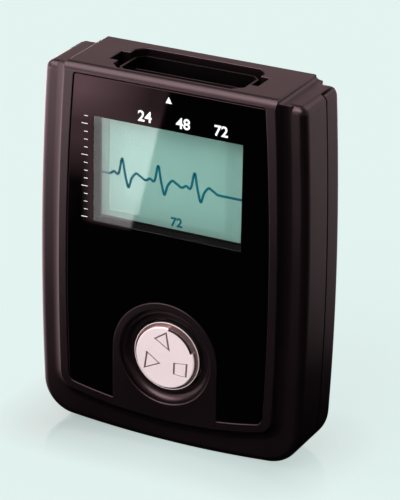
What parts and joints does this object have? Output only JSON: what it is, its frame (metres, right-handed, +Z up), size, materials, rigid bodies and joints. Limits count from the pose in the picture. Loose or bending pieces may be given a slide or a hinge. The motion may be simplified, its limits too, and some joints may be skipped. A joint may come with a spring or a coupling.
{
  "type": "holter monitor",
  "caption": "Pocket heart recorder with bowed black shells, glossy front panel, small display, rocking metal button, top lead socket and rear battery door.",
  "frame": {"origin": "on the ground under the middle of the upright body", "axes": "+Z up along the body's height, +Y out of its back, +X to the right seen from the front"},
  "size_m": [0.0724, 0.0218, 0.0955],
  "materials": {
    "casing": "fine satin moulded plastic",
    "gloss_panel": "polished, printed black behind",
    "adhesive": "matt",
    "foam": "matt foam",
    "black_plastic": "matt",
    "display_glass": "polished, green behind",
    "white_plastic": "matt",
    "ribbon_film": "smooth film",
    "satin_metal": "satin plated",
    "nylon": "matt",
    "board": "solder mask",
    "tinned_metal": "tinned",
    "chip_resin": "matt resin",
    "steel": "zinc plated",
    "dark_metal": "blackened",
    "gold": "gold flashed",
    "cell_sleeve": "printed sleeve"
  },
  "bodies": {
    "recorder": {"amplifier_shield": "tinned_metal", "battery_1": "cell_sleeve", "battery_2": "cell_sleeve", "battery_contact_joining": "tinned_metal", "battery_contact_lower": "tinned_metal", "battery_contact_upper": "tinned_metal", "board_screw_1": "steel", "board_screw_2": "steel", "board_screw_3": "steel", "board_screw_4": "steel", "buzzer": "black_plastic", "clock_cell": "steel", "display_backlight": "white_plastic", "display_frame": "black_plastic", "display_gasket": "foam", "display_glass": "display_glass", "display_ribbon": "ribbon_film", "front_housing": "casing", "front_panel": "gloss_panel", "housing_screw_1": "steel", "housing_screw_2": "steel", "housing_screw_3": "steel", "housing_screw_4": "steel", "main_board": "board", "memory_chip": "chip_resin", "panel_adhesive": "adhesive", "press_switch_1": "black_plastic", "press_switch_2": "black_plastic", "press_switch_3": "black_plastic", "processor_chip": "chip_resin", "rear_housing": "casing", "socket_contact_1": "gold", "socket_contact_10": "gold", "socket_contact_2": "gold", "socket_contact_3": "gold", "socket_contact_4": "gold", "socket_contact_5": "gold", "socket_contact_6": "gold", "socket_contact_7": "gold", "socket_contact_8": "gold", "socket_contact_9": "gold", "socket_insulator": "black_plastic", "socket_shell": "dark_metal"},
    "stem": {"button_stem": "nylon"},
    "rocker": {"button_rocker": "nylon"},
    "cap": {"button_cap": "satin_metal"},
    "door": {"battery_door": "casing"}
  },
  "joints": [
    {"name": "button_press", "type": "slide", "parent": "recorder", "child": "stem", "axis": [0, 1, 0], "range_m": [0, 0.0005], "stiffness_N_per_m": 3000},
    {"name": "button_tip", "type": "hinge", "parent": "stem", "child": "rocker", "pos_m": [0, -0.00785, 0.02415], "axis": [1, 0, 0], "range_deg": [-2.5, 2.5], "stiffness_Nm_per_rad": 0.25},
    {"name": "button_tilt", "type": "hinge", "parent": "rocker", "child": "cap", "pos_m": [0, -0.00785, 0.02415], "axis": [0, 0, 1], "range_deg": [-2.5, 2.5], "stiffness_Nm_per_rad": 0.25},
    {"name": "battery_door_lift", "type": "slide", "parent": "recorder", "child": "door", "axis": [0, 1, 0], "range_m": [0, 0.03]}
  ]
}
